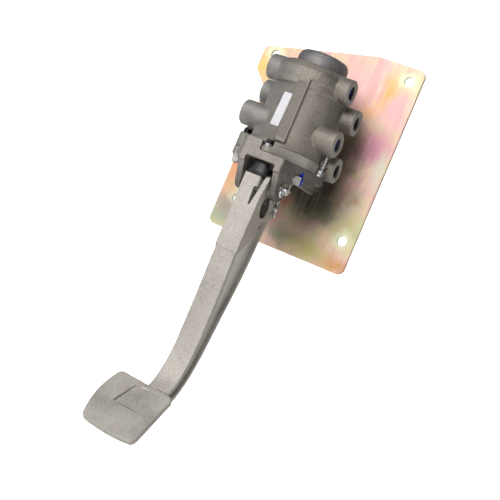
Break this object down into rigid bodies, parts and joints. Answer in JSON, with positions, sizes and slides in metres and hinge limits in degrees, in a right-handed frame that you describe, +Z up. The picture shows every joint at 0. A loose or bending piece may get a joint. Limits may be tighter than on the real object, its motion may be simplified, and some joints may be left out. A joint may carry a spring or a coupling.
{
  "type": "brake valve",
  "caption": "Suspended brake pedal under a cast air brake valve with side pipe ports, bolted to a flat plate; pressing the pad lifts a plunger through a roller.",
  "frame": {"origin": "back face of the mounting plate, on the centre plane of the valve and pedal, at the plate's mid height", "axes": "+Y from the driver to the wall behind the plate, +Z up, +X to the driver's right"},
  "size_m": [0.213, 0.2111, 0.5306],
  "materials": {
    "plate_steel": "yellow zinc plating, iridescent",
    "body_casting": "cast, matte, brown grey",
    "cover_casting": "cast, dark",
    "bracket_casting": "cast, matte",
    "arm_casting": "cast, fine grain",
    "black_rubber": "matte",
    "valve_rubber": "moulded on a metal insert",
    "blue_plastic": "moulded",
    "bronze": "oiled",
    "hard_steel": "ground",
    "zinc_steel": "bright zinc",
    "inner_steel": "plain",
    "spring_steel": "oiled",
    "inner_casting": "machined",
    "inner_plastic": "moulded"
  },
  "bodies": {
    "housing": {"mounting_plate": "plate_steel", "plate_screws": "zinc_steel", "plate_nuts": "zinc_steel", "valve_body": "body_casting", "exhaust_cover": "cover_casting", "exhaust_diaphragm": "black_rubber", "port_sleeves": "blue_plastic", "pedal_bracket": "bracket_casting", "side_bolts": "zinc_steel", "cap_screws": "zinc_steel", "clamp_washers": "zinc_steel", "left_clamp_bolt": "zinc_steel", "left_clamp_nut": "zinc_steel", "right_stud": "zinc_steel", "stud_nut": "zinc_steel", "stop_bumper": "black_rubber", "fulcrum_pin": "zinc_steel", "pin_washer": "zinc_steel", "fulcrum_cotter": "zinc_steel", "plunger_boot": "black_rubber", "boot_ring": "zinc_steel", "primary_return_spring": "spring_steel", "primary_valve_spring": "spring_steel", "primary_retainer": "inner_plastic", "primary_snap_ring": "inner_steel", "relay_spring": "spring_steel", "secondary_seat": "inner_casting", "secondary_seat_ring": "inner_steel", "secondary_valve_spring": "spring_steel", "secondary_retainer": "inner_plastic", "secondary_snap_ring": "inner_steel"},
    "pedal": {"pedal_arm": "arm_casting", "arm_bushings": "bronze", "roller_pin": "zinc_steel", "roller_cotter": "zinc_steel", "stop_screw": "zinc_steel", "stop_nut": "zinc_steel"},
    "roller": {"roller": "hard_steel"},
    "piston": {"primary_piston": "inner_casting", "primary_ring": "black_rubber", "graduating_spring": "black_rubber"},
    "plunger": {"plunger": "hard_steel", "spring_seat": "inner_steel"},
    "primary_valve": {"primary_valve": "valve_rubber"},
    "relay": {"relay_piston": "inner_casting", "relay_ring": "black_rubber"},
    "secondary_valve": {"secondary_valve": "valve_rubber"}
  },
  "joints": [
    {"name": "pedal_hinge", "type": "hinge", "parent": "housing", "child": "pedal", "pos_m": [0, -0.116, -0.071], "axis": [1, 0, 0], "range_deg": [0, 12], "stiffness_Nm_per_rad": 40, "springref_deg": -3.44},
    {"name": "roller_spin", "type": "hinge", "parent": "pedal", "child": "roller", "pos_m": [0, -0.082, -0.092], "axis": [1, 0, 0], "continuous": true},
    {"name": "piston_slide", "type": "slide", "parent": "housing", "child": "piston", "axis": [0, 0, 1], "range_m": [0, 0.00485], "deforming": ["primary_return_spring", "plunger_boot"]},
    {"name": "plunger_slide", "type": "slide", "parent": "piston", "child": "plunger", "axis": [0, 0, 1], "range_m": [0, 0.00278], "deforming": ["graduating_spring"]},
    {"name": "primary_valve_slide", "type": "slide", "parent": "housing", "child": "primary_valve", "axis": [0, 0, 1], "range_m": [0, 0.00265], "deforming": ["primary_valve_spring"]},
    {"name": "relay_slide", "type": "slide", "parent": "housing", "child": "relay", "axis": [0, 0, 1], "range_m": [0, 0.00375], "deforming": ["relay_spring"]},
    {"name": "secondary_valve_slide", "type": "slide", "parent": "housing", "child": "secondary_valve", "axis": [0, 0, 1], "range_m": [0, 0.00155], "deforming": ["secondary_valve_spring"]}
  ],
  "couplings": [
    {"joint": "piston_slide", "follows": "pedal_hinge", "m_per_rad": 0.022918},
    {"joint": "plunger_slide", "follows": "pedal_hinge", "m_per_rad": 0.013035},
    {"joint": "primary_valve_slide", "follows": "pedal_hinge", "m_per_rad": 0.012414},
    {"joint": "relay_slide", "follows": "pedal_hinge", "m_per_rad": 0.017666},
    {"joint": "secondary_valve_slide", "follows": "pedal_hinge", "m_per_rad": 0.007162}
  ]
}
